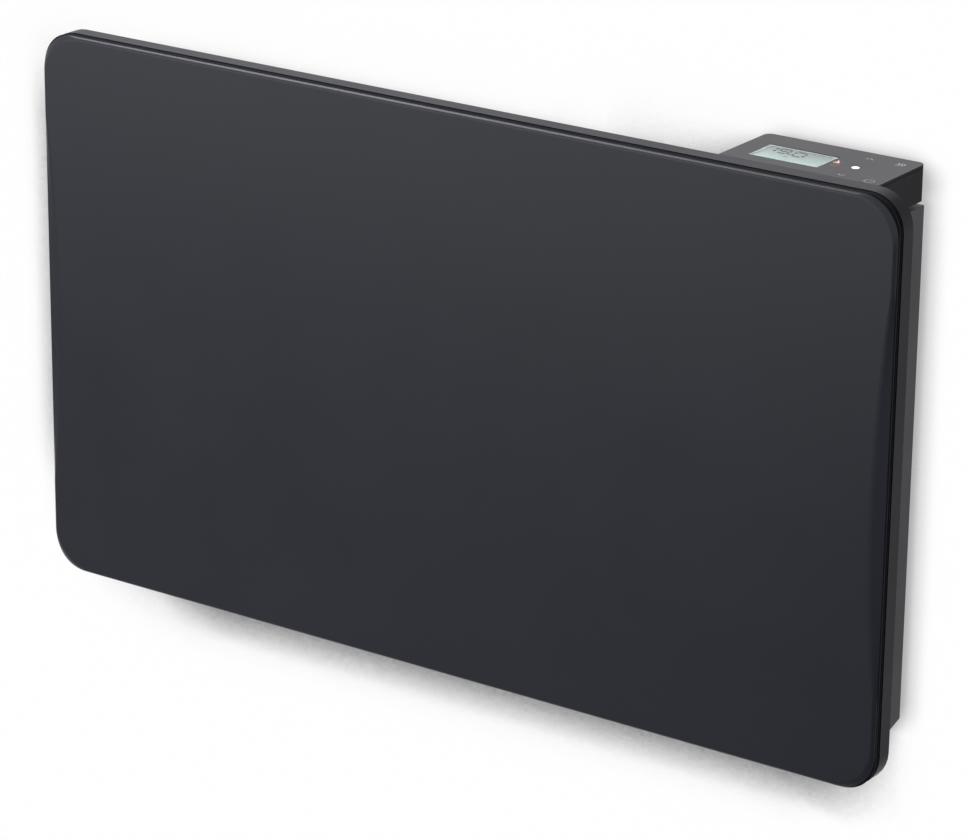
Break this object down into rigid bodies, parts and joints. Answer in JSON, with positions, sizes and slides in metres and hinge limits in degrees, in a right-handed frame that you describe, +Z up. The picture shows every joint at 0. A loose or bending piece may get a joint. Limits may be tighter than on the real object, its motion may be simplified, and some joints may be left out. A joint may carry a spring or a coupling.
{
  "type": "ceramic electric radiator",
  "caption": "Slim wall-hung electric panel radiator with a flat front with scooped sides, a rear housing and a top control unit with display and touch keys.",
  "frame": {"origin": "centre of the upper crossbar's back face, on the wall, 400 mm above the panel's lower edge", "axes": "+X along the panel to the right as seen from the front, +Y into the wall, +Z up; the front faces -Y"},
  "size_m": [0.852, 0.1152, 0.5],
  "materials": {
    "panel_paint": "satin anthracite powder coat",
    "casing_paint": "fine-textured anthracite powder coat",
    "control_plastic": "matt moulded plastic, fine spark texture",
    "fascia_plastic": "matt fascia with pale printed key marks",
    "lens": "clear acrylic",
    "display": "pale green-grey LCD",
    "backlight": "white diffuser",
    "circuit_board": "green solder mask",
    "component_black": "moulded black",
    "component_white": "moulded white",
    "relay_case": "moulded blue",
    "black_rubber": "matt rubber",
    "red_silicone": "silicone wire insulation",
    "ceramic": "unglazed refractory ceramic",
    "element_steel": "oxidised sheath",
    "zinc_steel": "zinc-plated pressed steel",
    "aluminium": "mill finish",
    "mineral_wool": "compressed fibre board"
  },
  "bodies": {
    "radiator": {"cable_grommet": "black_rubber", "casing": "casing_paint", "ceramic_brick_front_left": "ceramic", "ceramic_brick_front_right": "ceramic", "ceramic_brick_rear_left": "ceramic", "ceramic_brick_rear_right": "ceramic", "control_fascia": "fascia_plastic", "control_housing": "control_plastic", "control_screw_1": "zinc_steel", "control_screw_2": "zinc_steel", "core_strap_1": "zinc_steel", "core_strap_2": "zinc_steel", "core_strap_3": "zinc_steel", "display_backlight": "backlight", "display_window": "lens", "element_link_wire": "red_silicone", "front_panel": "panel_paint", "fuse": "component_white", "heat_spreader": "aluminium", "heating_element": "element_steel", "heating_relay": "relay_case", "housing_screw_1": "zinc_steel", "housing_screw_2": "zinc_steel", "housing_screw_3": "zinc_steel", "housing_screw_4": "zinc_steel", "insulation_board": "mineral_wool", "lcd_panel": "display", "live_wire": "red_silicone", "neutral_wire": "component_black", "panel_post_lower_left": "zinc_steel", "panel_post_lower_right": "zinc_steel", "panel_post_middle_left": "zinc_steel", "panel_post_middle_right": "zinc_steel", "panel_post_upper_left": "zinc_steel", "panel_post_upper_right": "zinc_steel", "panel_seal": "black_rubber", "power_board": "circuit_board", "power_transformer": "component_black", "rear_housing": "casing_paint", "room_sensor": "component_black", "smoothing_capacitor": "component_black", "switch_body": "component_black", "terminal_block": "component_white", "thermal_cutout": "component_black", "touch_board": "circuit_board", "touch_pad_boost": "black_rubber", "touch_pad_centre": "black_rubber", "touch_pad_down": "black_rubber", "touch_pad_power": "black_rubber", "touch_pad_up": "black_rubber", "wall_crossbar_lower": "zinc_steel", "wall_crossbar_upper": "zinc_steel", "wall_pad_left": "black_rubber", "wall_pad_right": "black_rubber", "wall_rail_left": "zinc_steel", "wall_rail_right": "zinc_steel"},
    "rocker": {"power_rocker": "component_black"},
    "lock_left": {"wall_lock_left": "zinc_steel"},
    "lock_right": {"wall_lock_right": "zinc_steel"}
  },
  "joints": [
    {"name": "power_switch_rock", "type": "hinge", "parent": "radiator", "child": "rocker", "pos_m": [0.2486, -0.038, 0.083], "axis": [0, 0, 1], "range_deg": [-18, 0]},
    {"name": "lock_left_turn", "type": "hinge", "parent": "radiator", "child": "lock_left", "pos_m": [-0.2, -0.008, 0.05], "axis": [0, 0, 1], "range_deg": [-90, 0]},
    {"name": "lock_right_turn", "type": "hinge", "parent": "radiator", "child": "lock_right", "pos_m": [0.2, -0.008, 0.05], "axis": [0, 0, 1], "range_deg": [0, 90]}
  ]
}
